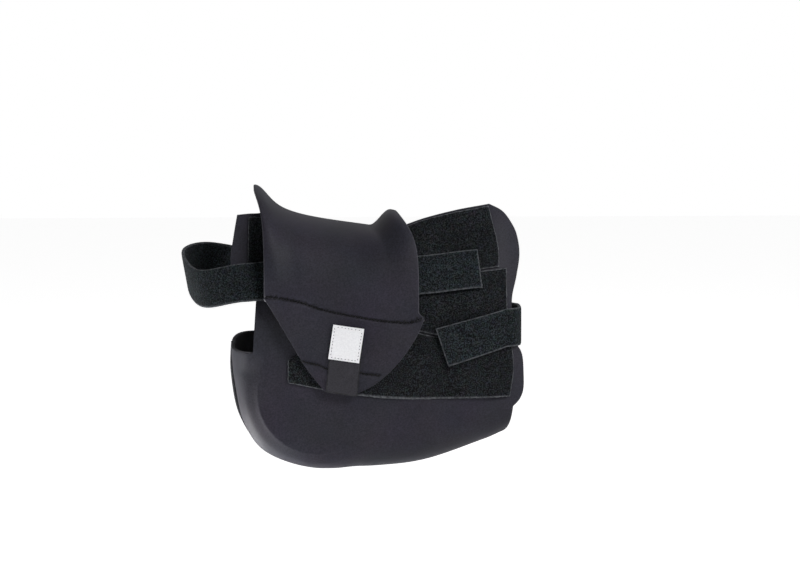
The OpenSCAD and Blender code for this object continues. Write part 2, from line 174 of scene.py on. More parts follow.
def makeCloth(name, place, flat, grain, thickness, materials, roundEdge=0.45, bottomHighlightScale=1.0, driveSide=False):
    # place(u, v) gives the outer face; materials are face, back and cut edge; the scale for the bottom edge, under 1,
    # widens the pale edge along v = 0 into a painted highlight of light from below, and driveSide mirrors the piece to
    # the other side
    cols, rows = max(2, round(flat[0] / grain)), max(2, round(flat[1] / grain))
    bm = bmesh.new()
    bmesh.ops.create_grid(bm, x_segments=cols, y_segments=rows, size=0.5, calc_uvs=True)
    uv = np.array([(vert.co.x + 0.5, vert.co.y + 0.5) for vert in bm.verts])
    points = place(uv[:, 0], uv[:, 1])
    if driveSide:
        points = points * np.array([1, -1, 1])
    for vert, p in zip(bm.verts, points):
        vert.co = Vector(p) * mm
    flatMap = bm.loops.layers.uv.verify()
    for face in bm.faces:
        face.smooth = True
        for loop in face.loops:
            loop[flatMap].uv = (loop[flatMap].uv.x * flat[0], loop[flatMap].uv.y * flat[1])
    if driveSide:
        bmesh.ops.reverse_faces(bm, faces=bm.faces)
    mesh = bpy.data.meshes.new(name)
    bm.to_mesh(mesh)
    bm.free()
    edge = mesh.attributes.new("edge", "FLOAT", "POINT")
    # distance from the cut edge, shortened along the bottom edge v = 0 so that the pale edge is wider there: a painted
    # highlight of light from below
    edgeWithBottomHighlight = np.minimum(edgeDistance(uv[:, 0], uv[:, 1], flat), uv[:, 1] * flat[1] * bottomHighlightScale)
    edge.data.foreach_set("value", edgeWithBottomHighlight.astype(np.float32))
    for material in materials:
        mesh.materials.append(material)
    piece = bpy.data.objects.new(name, mesh)
    bpy.context.collection.objects.link(piece)
    wall = piece.modifiers.new("wall", "SOLIDIFY")
    wall.thickness = thickness * mm
    wall.offset = -1
    wall.material_offset = 1
    wall.material_offset_rim = 2
    wall.bevel_convex = 1.0
    soft = piece.modifiers.new("softEdge", "BEVEL")
    soft.limit_method = "WEIGHT"
    soft.width = min(roundEdge, thickness * 0.45) * mm
    soft.segments = 2
    print("  ", name, cols * rows, "cells")
    return piece


def settle(piece, nodes):
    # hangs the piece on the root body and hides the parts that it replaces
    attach(piece, "root")
    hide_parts(*nodes)


# materials
def toLinear(hexColour):
    parts = [int(hexColour[i:i + 2], 16) / 255 for i in (1, 3, 5)]
    return tuple(c / 12.92 if c <= 0.04045 else ((c + 0.055) / 1.055) ** 2.4 for c in parts) + (1.0,)


def addNode(tree, kind, settings=None, inputs=None, links=None):
    node = tree.nodes.new(kind)
    for key, value in (settings or {}).items():
        setattr(node, key, value)
    for key, value in (inputs or {}).items():
        node.inputs[key].default_value = value
    for key, socket in (links or {}).items():
        tree.links.new(socket, node.inputs[key])
    return node


def newMaterial(name, shader):
    material = bpy.data.materials.new(name)
    material.use_nodes = True
    tree = material.node_tree
    surface = tree.nodes["Principled BSDF"]
    for key, value in shader.items():
        surface.inputs[key].default_value = value
    return material, tree, surface


plainLook = {"hue": 0.0, "huePatch": 20, "edge": "#4d4d52", "edgeWidth": 0.1, "edgeShare": 0.0}


def clothMaterial(name, look):
    # look: dark and light colour with the noise levels that they lie at, sizes of grain, patches and hue in mm,
    # edge colour, width and share, rib spacing, bump depth in mm, roughness, and the shader's own values
    look = {**plainLook, **look}
    material, tree, surface = newMaterial(name, look["shader"])
    place = addNode(tree, "ShaderNodeTexCoord").outputs["Object"]
    grain = addNode(tree, "ShaderNodeTexNoise", {}, {"Scale": 1000 / look["grain"], "Detail": 3.0, "Roughness": 0.62},
                    {"Vector": place})
    broad = addNode(tree, "ShaderNodeTexNoise", {}, {"Scale": 1000 / look["patch"], "Detail": 2.0},
                    {"Vector": place})
    tone = addNode(tree, "ShaderNodeMapRange", {}, {"From Min": look["from"], "From Max": look["to"]},
                   {"Value": grain.outputs["Fac"]})
    base = addNode(tree, "ShaderNodeMix", {"data_type": "RGBA"},
                   {6: toLinear(look["dark"]), 7: toLinear(look["light"])}, {0: tone.outputs["Result"]})
    shade = addNode(tree, "ShaderNodeMapRange", {}, {"From Min": 0.3, "From Max": 0.7, "To Min": look["shadeLow"],
                                                     "To Max": look["shadeHigh"]}, {"Value": broad.outputs["Fac"]})
    hue = addNode(tree, "ShaderNodeTexNoise", {}, {"Scale": 1000 / look["huePatch"], "Detail": 2.0}, {"Vector": place})
    tint = addNode(tree, "ShaderNodeMix", {"data_type": "RGBA"},
                   {0: look["hue"], 6: (0.5, 0.5, 0.5, 1)}, {7: hue.outputs["Color"]})
    tinted = addNode(tree, "ShaderNodeVectorMath", {"operation": "MULTIPLY"}, {},
                     {0: base.outputs[2], 1: tint.outputs[2]})
    shaded = addNode(tree, "ShaderNodeVectorMath", {"operation": "SCALE"}, {},
                     {0: tinted.outputs[0], "Scale": shade.outputs["Result"]})
    # pale cut edge; along the bottom of the tapes and straps this band is widened into a painted highlight of light
    # from below
    edge = addNode(tree, "ShaderNodeAttribute", {"attribute_name": "edge"})
    atEdge = addNode(tree, "ShaderNodeMapRange", {}, {"From Min": look["edgeWidth"] * 0.45,
                                                      "From Max": look["edgeWidth"], "To Min": look["edgeShare"],
                                                      "To Max": 0.0}, {"Value": edge.outputs["Fac"]})
    fray = addNode(tree, "ShaderNodeTexNoise", {}, {"Scale": 1000 / 2.2}, {"Vector": place})
    fraying = addNode(tree, "ShaderNodeMapRange", {}, {"From Min": 0.35, "From Max": 0.6, "To Min": 0.35},
                      {"Value": fray.outputs["Fac"]})
    frayed = addNode(tree, "ShaderNodeMath", {"operation": "MULTIPLY"}, {},
                     {0: atEdge.outputs["Result"], 1: fraying.outputs["Result"]})
    final = addNode(tree, "ShaderNodeMix", {"data_type": "RGBA"}, {7: toLinear(look["edge"])},
                    {0: frayed.outputs[0], 6: shaded.outputs[0]})
    tree.links.new(final.outputs[2], surface.inputs["Base Color"])
    height = grain.outputs["Fac"]
    if look.get("rib"):
        flatPlace = addNode(tree, "ShaderNodeTexCoord").outputs["UV"]
        rib = addNode(tree, "ShaderNodeTexWave", {"bands_direction": look["ribWay"]},
                      {"Scale": 0.314 / look["rib"], "Distortion": 0.6, "Detail": 1.0, "Detail Scale": 1.5},
                      {"Vector": flatPlace})
        height = addNode(tree, "ShaderNodeMath", {"operation": "MULTIPLY_ADD"}, {1: look["ribShare"]},
                         {0: rib.outputs["Fac"], 2: height}).outputs[0]
    bump = addNode(tree, "ShaderNodeBump", {}, {"Strength": look["bump"], "Distance": look["depth"] * mm},
                   {"Height": height})
    tree.links.new(bump.outputs["Normal"], surface.inputs["Normal"])
    rough = addNode(tree, "ShaderNodeMapRange", {}, {"To Min": look["roughLow"], "To Max": look["roughHigh"]},
                    {"Value": grain.outputs["Fac"]})
    tree.links.new(rough.outputs["Result"], surface.inputs["Roughness"])
    return material


print("materials")
# Neoprene faced with nylon jersey: a fine knit, so a soft dull black with a faint violet cast and a little sheen.
# The wales are 0.4 mm apart; they are drawn 1.1 mm apart so that they show.
jersey = clothMaterial("nylonJerseyOnNeoprene", {
    "dark": "#1f1e24", "light": "#2e2d36", "grain": 1.2, "patch": 38, "from": 0.3, "to": 0.72,
    "hue": 0.12, "huePatch": 34, "shadeLow": 1.76, "shadeHigh": 2.24,
    "edge": "#55555b", "edgeWidth": 0.9, "edgeShare": 0.5,
    "rib": 1.1, "ribWay": "X", "ribShare": 0.25, "bump": 0.3, "depth": 0.12, "roughLow": 0.5, "roughHigh": 0.66,
    "shader": {"Specular IOR Level": 0.14, "Sheen Weight": 0.04, "Sheen Roughness": 0.3,
               "Sheen Tint": toLinear("#dcdce8")}})
# The same jersey on the inside, flatter and darker because it is not stretched over anything.
lining = clothMaterial("jerseyLining", {
    "dark": "#1c1c20", "light": "#2a2a2f", "grain": 1.6, "patch": 30, "from": 0.3, "to": 0.7,
    "shadeLow": 1.84, "shadeHigh": 2.16, "edge": "#3c3c41", "edgeWidth": 0.8, "edgeShare": 0.4,
    "bump": 0.3, "depth": 0.12, "roughLow": 0.7, "roughHigh": 0.85,
    "shader": {"Specular IOR Level": 0.25, "Sheen Weight": 0.08, "Sheen Roughness": 0.5}})
# Cut neoprene foam: the raw edge of a die-cut sheet, a lighter dull grey-black with fine closed cells.
foamEdge = clothMaterial("cutNeopreneFoam", {
    "dark": "#37373b", "light": "#5c5c61", "grain": 0.6, "patch": 12, "from": 0.3, "to": 0.7,
    "shadeLow": 1.8, "shadeHigh": 2.2, "bump": 0.5, "depth": 0.15, "roughLow": 0.8, "roughHigh": 0.95,
    "shader": {"Specular IOR Level": 0.2}})
# Brushed nylon loop tape: unbroken pile of fine loops that swallows light, with pale specks where loops catch it.
# Loops are 0.3 mm; they are drawn about 1 mm so that the speckle shows.
loopPile = clothMaterial("brushedNylonLoop", {
    "dark": "#050607", "light": "#2e3134", "grain": 0.95, "patch": 22, "from": 0.42, "to": 0.68,
    "hue": 0.3, "huePatch": 3.2, "shadeLow": 1.6, "shadeHigh": 2.4,
    "edge": "#5e6064", "edgeWidth": 1.2, "edgeShare": 0.75,
    "bump": 0.9, "depth": 0.5, "roughLow": 0.8, "roughHigh": 0.98,
    "shader": {"Specular IOR Level": 0.06, "Sheen Weight": 0.02, "Sheen Roughness": 0.5}})
# Elastic strap with a loop face: the same pile, a little greyer and denser, with a paler woven selvedge.
strapPile = clothMaterial("loopFacedElastic", {
    "dark": "#060809", "light": "#33393d", "grain": 0.95, "patch": 26, "from": 0.42, "to": 0.68,
    "hue": 0.3, "huePatch": 3.2, "shadeLow": 1.72, "shadeHigh": 2.28,
    "edge": "#5c5e62", "edgeWidth": 1.2, "edgeShare": 0.6,
    "bump": 0.9, "depth": 0.45, "roughLow": 0.8, "roughHigh": 0.97,
    "shader": {"Specular IOR Level": 0.06, "Sheen Weight": 0.02, "Sheen Roughness": 0.5}})
# Moulded nylon hook tape: stiff little hooks, harder and shinier than the pile that it holds.
hookTape = clothMaterial("mouldedNylonHook", {
    "dark": "#0c0c0e", "light": "#2b2d30", "grain": 0.9, "patch": 20, "from": 0.4, "to": 0.62,
    "shadeLow": 1.8, "shadeHigh": 2.2, "edge": "#2b2d30", "edgeWidth": 1.0, "edgeShare": 0.3,
    "rib": 1.3, "ribWay": "Y", "ribShare": 0.6, "bump": 1.0, "depth": 0.5, "roughLow": 0.4, "roughHigh": 0.6,
    "shader": {"Specular IOR Level": 0.4}})
# Woven nylon tape of the pull tab: a plain weave, matt, a shade lighter than the jersey.
tabWeave = clothMaterial("wovenNylonTape", {
    "dark": "#1f1e23", "light": "#2e2d33", "grain": 0.9, "patch": 16, "from": 0.34, "to": 0.66,
    "shadeLow": 1.86, "shadeHigh": 2.14, "edge": "#121214", "edgeWidth": 1.1, "edgeShare": 0.9,
    "rib": 1.2, "ribWay": "Y", "ribShare": 0.4, "bump": 0.6, "depth": 0.2, "roughLow": 0.7, "roughHigh": 0.85,
    "shader": {"Specular IOR Level": 0.25, "Sheen Weight": 0.08, "Sheen Roughness": 0.5}})
# Woven polyester label: a bright close satin, almost plain white, a little greyer in its weave.
labelSatin = clothMaterial("wovenPolyesterLabel", {
    "dark": "#d8d8db", "light": "#e4e4e6", "grain": 1.0, "patch": 14, "from": 0.35, "to": 0.65,
    "shadeLow": 1.96, "shadeHigh": 2, "edge": "#d9d9dc", "edgeWidth": 0.8, "edgeShare": 0.7,
    "rib": 1.0, "ribWay": "X", "ribShare": 0.4, "bump": 0.25, "depth": 0.1, "roughLow": 0.5, "roughHigh": 0.65,
    "shader": {"Specular IOR Level": 0.4}})
# Bonded polyester sewing thread: twisted and slightly shiny, so each stitch catches a small light.
blackThread = clothMaterial("bondedPolyesterThread", {
    "dark": "#060607", "light": "#131316", "grain": 0.5, "patch": 9, "from": 0.3, "to": 0.7,
    "shadeLow": 1.8, "shadeHigh": 2.2, "bump": 0.5, "depth": 0.1, "roughLow": 0.55, "roughHigh": 0.7,
    "shader": {"Specular IOR Level": 0.2}})
# The same thread in grey, on the label: small dull dashes that stand out on the white.
greyThread = clothMaterial("greyPolyesterThread", {
    "dark": "#55565a", "light": "#6c6d71", "grain": 0.5, "patch": 9, "from": 0.3, "to": 0.7,
    "shadeLow": 1.9, "shadeHigh": 2.1, "bump": 0.5, "depth": 0.1, "roughLow": 0.45, "roughHigh": 0.6,
    "shader": {"Specular IOR Level": 0.35}})

# face, back and cut edge of each cloth
neopreneFaces = [jersey, lining, foamEdge]
loopFaces = [loopPile, lining, loopPile]
strapFaces = [strapPile, strapPile, strapPile]


# stitches: short threads laid along a seam
def makeStitches(name, runs, material):
    # runs: a list of (start, end, up, radius) in mm, one for each stitch
    bm = bmesh.new()
    for start, end, up, radius in runs:
        start, end, up = Vector(start), Vector(end), Vector(up).normalized()
        along = end - start
        length = along.length
        along.normalize()
        side = up.cross(along).normalized()
        turn = Matrix((along, side, along.cross(side))).transposed().to_4x4()
        shape = Matrix.Diagonal((length / 2 + radius * 0.4, radius, radius, 1))
        place = Matrix.Translation((start + end) / 2 * mm) @ turn @ shape @ Matrix.Diagonal((mm, mm, mm, 1))
        bmesh.ops.create_uvsphere(bm, u_segments=6, v_segments=4, radius=1,
                                  matrix=place @ Matrix.Rotation(math.pi / 2, 4, "Y"))
    for face in bm.faces:
        face.smooth = True
    bmesh.ops.recalc_face_normals(bm, faces=bm.faces)
    mesh = bpy.data.meshes.new(name)
    bm.to_mesh(mesh)
    bm.free()
    mesh.materials.append(material)
    piece = bpy.data.objects.new(name, mesh)
    bpy.context.collection.objects.link(piece)
    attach(piece, "root")
    print("  ", name, len(runs), "stitches")


def seamRuns(place, start, end, length, gap, radius, lift, seed, wander=0.0, slant=0.0):
    # stitches along a line from start to end in a piece's own (u, v), laid on place(u, v, lift)
    rng = random.Random(seed)
    start, end = np.array(start, float), np.array(end, float)
    t = np.linspace(0, 1, 240)
    line = start + (end - start) * t[:, None]
    pts = place(line[:, 0], line[:, 1], lift)
    run = np.concatenate([[0], np.cumsum(np.linalg.norm(np.diff(pts, axis=0), axis=1))])
    runs, at = [], rng.uniform(0, gap)
    across = np.array([-(end - start)[1], (end - start)[0]])
    across = across / max(1e-9, np.linalg.norm(across)) * 0.004
    while at + length < run[-1]:
        ends = np.interp([at, at + length * rng.uniform(0.85, 1.1)], run, t)
        shift = rng.uniform(-1, 1) * wander
        a = start + (end - start) * ends[0] + across * (shift - slant)
        b = start + (end - start) * ends[1] + across * (shift + slant)
        pair = place(np.array([a[0], b[0]]), np.array([a[1], b[1]]), lift)
        high = place(np.array([a[0], b[0]]), np.array([a[1], b[1]]), lift + 1.0)
        runs.append((pair[0], pair[1], high[0] - pair[0], radius))
        at += length + gap * rng.uniform(0.8, 1.2)
    return runs


# neoprene side panels
print("side panels")
nearPanel = {"flat": (222, 196), "area": 38000, "grain": 1.4, "rimCentre": (-43, -17), "rimRadius": 46.7,
             "rimDepth": 5, "rimWidth": 14, "foldLine": ((-14, -57), (44, -25)), "foldDepth": 2.0, "keelRidge": 0.7,
             "creases": (((28, -20), (56, -44), 9, 1.4), ((2, -30), (30, -62), 10, -0.9),
                         ((66, -24), (92, -52), 8, 0.8), ((-14, -58), (-2, -36), 7, -0.7))}


def creased(x, z, creases):
    return sum(crease(x, z, *one) for one in creases)


def keelSeam(v, panel):
    # the raised seam allowance beside the keel, with the pulled-in stitch line next to it
    fromKeel = v * panel["flat"][1]
    return (panel["keelRidge"] * np.exp(-((fromKeel - 1.2) / 1.6) ** 2)
            - 0.5 * np.exp(-((fromKeel - 4.5) / 2.2) ** 2))


def uneven(place, seed):
    # stretched neoprene is never quite even
    def placed(u, v):
        p = place(u, v)
        return p + speckle(p, 30, seed)[:, None] * np.array([0, -0.22, 0])
    return placed


def nearRelief(x, z, v):
    # flat round face; low on its front the cloth slopes away from it, then come the slack folds
    cx, cz = nearPanel["rimCentre"]
    bearing = np.degrees(np.arctan2(z - cz, x - cx))
    low = np.where(bearing < 0, smooth((-bearing - 42) / 36), smooth((bearing - 140) / 25))
    past = np.hypot(x - cx, z - cz) - nearPanel["rimRadius"]
    slope = 1 - (1 - np.clip(past / nearPanel["rimWidth"], 0, 1)) ** 2
    rim = -nearPanel["rimDepth"] * slope * (1 - smooth((past - 11) / 20)) * low
    (ax, az), (bx, bz) = nearPanel["foldLine"]
    below = ((x - ax) * (bz - az) - (z - az) * (bx - ax)) / np.hypot(bx - ax, bz - az)
    slack = (-nearPanel["foldDepth"] * smooth(below / 18) * (1 - smooth((below - 16) / 30))
             * smooth((x + 30) / 22) * smooth((112 - x) / 30))
    return rim + slack + keelSeam(v, nearPanel) + creased(x, z, nearPanel["creases"])


def placeNear(u, v, lift=0.0):
    return bowl(nearTop, 9.5, nearRelief, u, v, guard["neoprene"] + lift)


nearSidePanel = makeCloth("nearSidePanel", uneven(placeNear, 4), nearPanel["flat"], nearPanel["grain"],
                          guard["neoprene"], neopreneFaces)
settle(nearSidePanel, ["near_side_panel"])

drivePanel = {"flat": (205, 212), "area": 38000, "grain": 1.8, "keelRidge": 0.7,
              "creases": (((-60, 30), (-20, 55), 12, 0.9), ((30, 20), (80, 40), 12, -0.8),
                          ((10, -40), (60, -60), 12, 0.8), ((-80, -10), (-50, -40), 10, -0.7))}


def driveRelief(x, z, v):
    return keelSeam(v, drivePanel) + creased(x, z, drivePanel["creases"])


def placeDrive(u, v, lift=0.0):
    return bowl(driveTop, 2, driveRelief, u, v, guard["neoprene"] + lift)


driveSidePanel = makeCloth("driveSidePanel", uneven(placeDrive, 9), drivePanel["flat"], drivePanel["grain"],
                           guard["neoprene"], neopreneFaces, driveSide=True)
settle(driveSidePanel, ["drive_side_panel"])

# ear and wing, sewn to the near panel's top edge
print("ear and wing")


def aboveNearTop(u):
    p = curve(nearTop, u)
    return [float(p[0]), float(p[1]) + 0.3]


earFront = [[-90.5, 69.6], [-104, 76], [-110, 86], [-108, 104], [-105, 121.5]]
earTop = [[-105, 121.5], [-92, 122.5], [-80, 121], [-58, 105]]
ear = {"flat": (52, 56), "area": 2500, "grain": 1.0, "seamEnd": 0.222}
earBottom = [earFront[0]] + [aboveNearTop(k * ear["seamEnd"] / 3) for k in (1, 2, 3)]


def placeEar(u, v):
    return onSide(within(earBottom, earTop, earFront, [earBottom[-1], earTop[-1]], u, v), guard["neoprene"])


frontEar = makeCloth("frontEar", placeEar, ear["flat"], ear["grain"], guard["neoprene"], neopreneFaces)
settle(frontEar, ["front_ear"])

wingRear = [[108, 24.6], [108.5, 42], [109, 58], [113, 73], [116.3, 90], [114.5, 105], [109.5, 115.5], [102.5, 124],
            [92.5, 129.3]]
wing = {"flat": (92, 98), "area": 8400, "grain": 1.2, "seamStart": 0.582, "seamEnd": 0.97,
        "swell": ((104, 60), (108, 112), 7, 0.5)}
wingBottom = [aboveNearTop(mix(wing["seamStart"], wing["seamEnd"], k / 3)) for k in range(4)] + [wingRear[0]]
wingTop = [[10, 107], [38, 117.6], [66, 124.6], wingRear[-1]]


def placeWing(u, v):
    p = within(wingBottom, wingTop, [wingBottom[0], wingTop[0]], wingRear, u, v)
    return onSide(p, guard["neoprene"] + crease(p[:, 0], p[:, 1], *wing["swell"]))


rearWing = makeCloth("rearWing", placeWing, wing["flat"], wing["grain"], guard["neoprene"], neopreneFaces)
settle(rearWing, ["rear_wing"])

# loop patches, each a cut piece between four edge curves as (x, z)
print("loop patches")
pile = {"grain": 0.72, "thickness": 1.4, "tuft": 0.14}


def pileHeight(points, depth, seed):
    # loops pressed into small tufts
    return depth * (speckle(points, 0.95, seed) + 0.5 * speckle(points, 2.3, seed + 5))


def makePatch(name, patch, nodes):
    def place(u, v):
        p = within(patch["bottom"], patch["top"], patch["front"], patch["rear"], u, v)
        seed, edge = patch["seed"], edgeDistance(u, v, patch["flat"])
        fray = 0.28 * np.stack([speckle(onSide(p, 0), 1.7, seed + 1), speckle(onSide(p, 0), 1.7, seed + 2)], -1)
        p = p + fray * np.exp(-edge / 1.2)[:, None]
        rounded = -0.3 * np.exp(-edge / 0.6)
        return onSide(p, loopLayer + guard["loopPile"] + rounded + pileHeight(onSide(p, 0), pile["tuft"], seed))
    # the pale bottom edge is drawn wider: a painted highlight of light from below
    cloth = makeCloth(name, place, patch["flat"], pile["grain"], pile["thickness"], loopFaces, roundEdge=0.3,
                      bottomHighlightScale=0.5)
    settle(cloth, nodes)


earPatch = {"flat": (36, 42), "area": 1480, "seed": 11,
            "bottom": [[-97, 76], [-61, 72]], "top": [[-96, 120], [-80, 118.5], [-61, 105]],
            "front": [[-97, 76], [-96, 120]], "rear": [[-61, 72], [-61, 105]]}
makePatch("earLoopPatch", earPatch, ["ear_loop_patch"])
upperPatch = {"flat": (85, 47), "area": 3750, "seed": 17,
              "bottom": [[13, 70], [50, 75], [99, 81]], "top": [[13, 106.6], [38, 116.4], [66, 123.4], [91.5, 128]],
              "front": [[13, 70], [13, 106.6]], "rear": [[99, 81], [98.5, 99], [91.5, 128]]}
makePatch("upperLoopPatch", upperPatch, ["upper_loop_patch"])
middlePatch = {"flat": (92, 45), "area": 3850, "seed": 23,
               "bottom": [[13, 39.5], [38, 32], [50, 29.5], [75, 27.5], [105, 25.5]],
               "top": [[13, 69], [50, 74], [105, 80]],
               "front": [[13, 39.5], [13, 69]], "rear": [[105, 25.5], [104.5, 52], [105, 80]]}
makePatch("middleLoopPatch", middlePatch, ["middle_loop_patch"])
lowerPatch = {"flat": (176, 43), "area": 7300, "seed": 29,
              "bottom": [[-66, -7], [-37, -13], [-6, -18], [24, -20.5], [52, -20.5], [80, -20.3], [107, -20]],
              "top": [[-66, 11], [-40, 22], [-10, 31], [16, 35], [50, 28], [80, 25], [108, 22.5]],
              "front": [[-66, -7], [-66, 11]], "rear": [[107, -20], [110, 2], [108, 22.5]]}
makePatch("lowerLoopPatch", lowerPatch, ["lower_loop_patch"])

# front band, from its root on the drive side round the front to its free end on the wing
print("front band")
band = {"flat": (412, 34), "area": 12300, "grain": 0.75, "rootWidth": 34, "reach": 42, "rootEnd": 0.082,
        "turnEnd": 0.556, "rootX": -66, "turnX": -100, "endX": 82, "endLean": 3,
        "turnTop": [88, 94, 90, 79, 85], "nearTop": [85, 89, 89, 90.2, 94.8]}


def webFace(base, edge, seed, lift):
    # outer face of a strap: pile in its middle, rounded off at its woven edges
    return (guard["strapWeb"] - 0.35 * np.exp(-edge / 0.8) + pileHeight(base, 0.12, seed) * np.clip(edge / 0.9, 0, 1)
            + lift)


def bandNear(t, v, layer):
    # the stretch on the near side, t from the turn to the free end
    x = mix(band["turnX"], band["endX"], t) + (1 - v) * band["endLean"] * smooth(t)
    z = curve(band["nearTop"], t) - guard["strapWidth"] * (1 - v)
    return onSide(np.stack([x, z], -1), layer)


def bandPoint(u, v, thick):
    # u runs over the root, the turn and the near stretch by their shares of the band's length
    rootEnd, turnEnd, turnX = band["rootEnd"], band["turnEnd"], band["turnX"]
    t0 = np.clip(u / rootEnd, 0, 1)
    x0 = mix(band["rootX"], turnX, t0)
    top0 = mix(84, band["turnTop"][0], t0)
    seat = curve(driveTop, (x0 - driveTop[0][0]) / (driveTop[2][0] - driveTop[0][0]) * 2 / 7)[:, 1]
    low0 = mix(seat + 0.7, top0 - band["rootWidth"], smooth(t0 * 1.2))
    z0 = mix(low0, top0, v)
    root = np.stack([x0, sideDepth(x0, z0) + thick, z0], -1)
    t1 = np.clip((u - rootEnd) / (turnEnd - rootEnd), 0, 1)
    z1 = curve(band["turnTop"], t1) - mix(band["rootWidth"], guard["strapWidth"], smooth(1.6 * t1)) * (1 - v)
    layer1 = mix(0, strapLayer, smooth(t1)) + thick
    reach = band["reach"] + 0.18 * (z1 - 70) + layer1
    turn = np.stack([turnX - reach * np.sin(np.pi * t1), (sideDepth(turnX, z1) + layer1) * np.cos(np.pi * t1), z1], -1)
    near = bandNear(np.clip((u - turnEnd) / (1 - turnEnd), 0, 1), v, strapLayer + thick)
    return np.where((u < rootEnd)[:, None], root, np.where((u < turnEnd)[:, None], turn, near))


def placeBand(u, v, lift=0.0):
    base = bandPoint(u, v, 0)
    edge = edgeDistance(u, v, (band["flat"][0], guard["strapWidth"]))
    placed = bandPoint(u, v, webFace(base, edge, 31, lift))
    # the free end is cut, so it frays
    fray = 0.22 * speckle(base, 1.6, 41) * np.exp(-edge / 0.9) * np.where(u > 0.99, 1.6, 0.6)
    placed[:, 0] += fray * np.where(u > 0.985, 1, 0)
    return placed


# the pale bottom edge is drawn wider: a painted highlight of light from below
frontBand = makeCloth("frontBand", placeBand, band["flat"], band["grain"], 2.4, strapFaces, roundEdge=0.35,
                      bottomHighlightScale=0.6)
settle(frontBand, ["front_band"])


def makeHookPad(name, nodes, place, flat):
    pad = makeCloth(name, place, flat, 1.5, 1.0, [hookTape, hookTape, hookTape], roundEdge=0.3)
    settle(pad, nodes)


def bandPadPlace(u, v):
    t = (mix(46, 79, u) - band["turnX"]) / (band["endX"] - band["turnX"])
    return bandNear(t, mix(0.1, 0.9, v), hookLayer + guard["hookPad"])


makeHookPad("frontBandHookPad", ["front_band_hook_pad"], bandPadPlace, (33, 23))

# rear strap, from its free end on the near side round the rear to its root on the drive side
print("rear strap")
strap = {"flat": (246, 31), "area": 7300, "grain": 0.75, "bend": 15, "startX": 48, "turnX": 104, "rootX": 58,
         "startHeight": 35, "rise": 0.262, "endSlant": 10, "farDrop": 7}
strapSlope = math.degrees(math.atan(2 * guard["rearTurnRate"] * (strap["turnX"] - guard["rearTurnFrom"])))
farLayer = loopLayer + 0.8


def strapHeight(x, v):
    # measured upright, the climbing strap is 3 % wider
    return strap["startHeight"] + strap["rise"] * (x - strap["startX"]) - guard["strapWidth"] * 1.03 * (1 - v)


def strapNear(x, v, layer):
    slant = (1 - v) * strap["endSlant"] * (1 - (x - strap["startX"]) / (strap["turnX"] - strap["startX"]))
    return onSide(np.stack([x + slant, strapHeight(x, v)], -1), layer)


def strapPoint(u, v, thick):
    # near stretch, near bend, back, far bend, root
    bend, turnX = strap["bend"], strap["turnX"]
    marks = [0, 0.232, 0.327, 0.713, 0.808, 1]
    part = [np.clip((u - a) / (b - a), 0, 1) for a, b in zip(marks[:-1], marks[1:])]
    near = strapNear(mix(strap["startX"], turnX, part[0]), v, strapLayer + thick)
    z = strapHeight(turnX, v) - strap["farDrop"] * smooth(part[2])

    def bent(degrees, layer, far):
        side = sideDepth(turnX, z) + layer
        slope = math.radians(strapSlope)
        turn = np.radians(degrees)
        x = turnX - bend * math.sin(slope) + (bend + thick) * np.sin(turn)
        y = side - bend * math.cos(slope) + (bend + thick) * np.cos(turn)
        return np.stack([x, y if far else -y, z], -1)
    first = bent(mix(strapSlope, 90, part[1]), strapLayer, False)
    lastNear = bent(np.full(len(u), 90.0), strapLayer, False)
    firstFar = bent(np.full(len(u), 90.0), farLayer, True)
    back = mix(lastNear, firstFar, part[2][:, None])
    back[:, 0] += 2 * np.sin(np.pi * part[2])
    second = bent(mix(90, strapSlope, part[3]), farLayer, True)
    x4 = mix(turnX, strap["rootX"], part[4])
    layer4 = mix(farLayer, loopLayer, smooth(2 * part[4]))
    root = np.stack([x4, sideDepth(x4, z) + layer4 + thick, z], -1)
    placed = near
    for mark, piece in zip(marks[1:-1], (first, back, second, root)):
        placed = np.where((u >= mark)[:, None], piece, placed)
    return placed


def placeStrap(u, v, lift=0.0):
    base = strapPoint(u, v, 0)
    edge = edgeDistance(u, v, (strap["flat"][0], 30))
    return strapPoint(u, v, webFace(base, edge, 51, lift))


# the pale bottom edge is drawn wider: a painted highlight of light from below
rearStrap = makeCloth("rearStrap", placeStrap, strap["flat"], strap["grain"], 2.4, strapFaces, roundEdge=0.35,
                      bottomHighlightScale=0.75)
settle(rearStrap, ["rear_strap"])


def strapPadPlace(u, v):
    return strapNear(mix(strap["startX"] + 3, 86, u), mix(0.1, 0.9, v), hookLayer + guard["hookPad"])


makeHookPad("rearStrapHookPad", ["rear_strap_hook_pad"], strapPadPlace, (33, 24))

# flap over the top
print("flap")
seamLine = [[-84, 60], [-72, 59], [-56, 56], [-45, 52], [-30, 48], [-14, 45], [3, 42], [18, 40.3], [28, 40], [39, 43]]
flap = {"flat": (126, 262), "area": 31500, "grain": 1.5, "frontX": -84, "rearX": 35, "crestHeight": 107,
        "frontHorn": 20, "rearHorn": 15, "shoulder": 38, "farShoulder": 78, "lapHeight": 60, "pucker": 0.55,
        "creases": (((-80, 118), (-74, 66), 6, 0.8), ((-66, 110), (-58, 62), 8, -0.6), ((18, 100), (30, 52), 8, 0.5))}


def flapCrest(u):
    # height of the arch, with a raised corner at the front and at the rear
    return (flap["crestHeight"] + 16 * (0.8 - u) + flap["frontHorn"] / (1 + (np.maximum(u, 0) / 0.12) ** 2.4)
            + flap["rearHorn"] * smooth((u - 0.81) / 0.155))


def flapX(u, h):
    return mix(flap["frontX"] - 9 * h ** 6, flap["rearX"] - 14 * h ** 6, u)


def flapSquare(u):
    # as squareness, for the arch of the flap
    return mix(3, 4.4, smooth(2.5 * u - 1.5))


def flapShare(u, z, thick):
    # 0 at the shoulder, where the flap leaves the side, and 1 at the crest
    return np.maximum(0, z - flap["shoulder"]) / (flapCrest(u) + thick - flap["shoulder"])


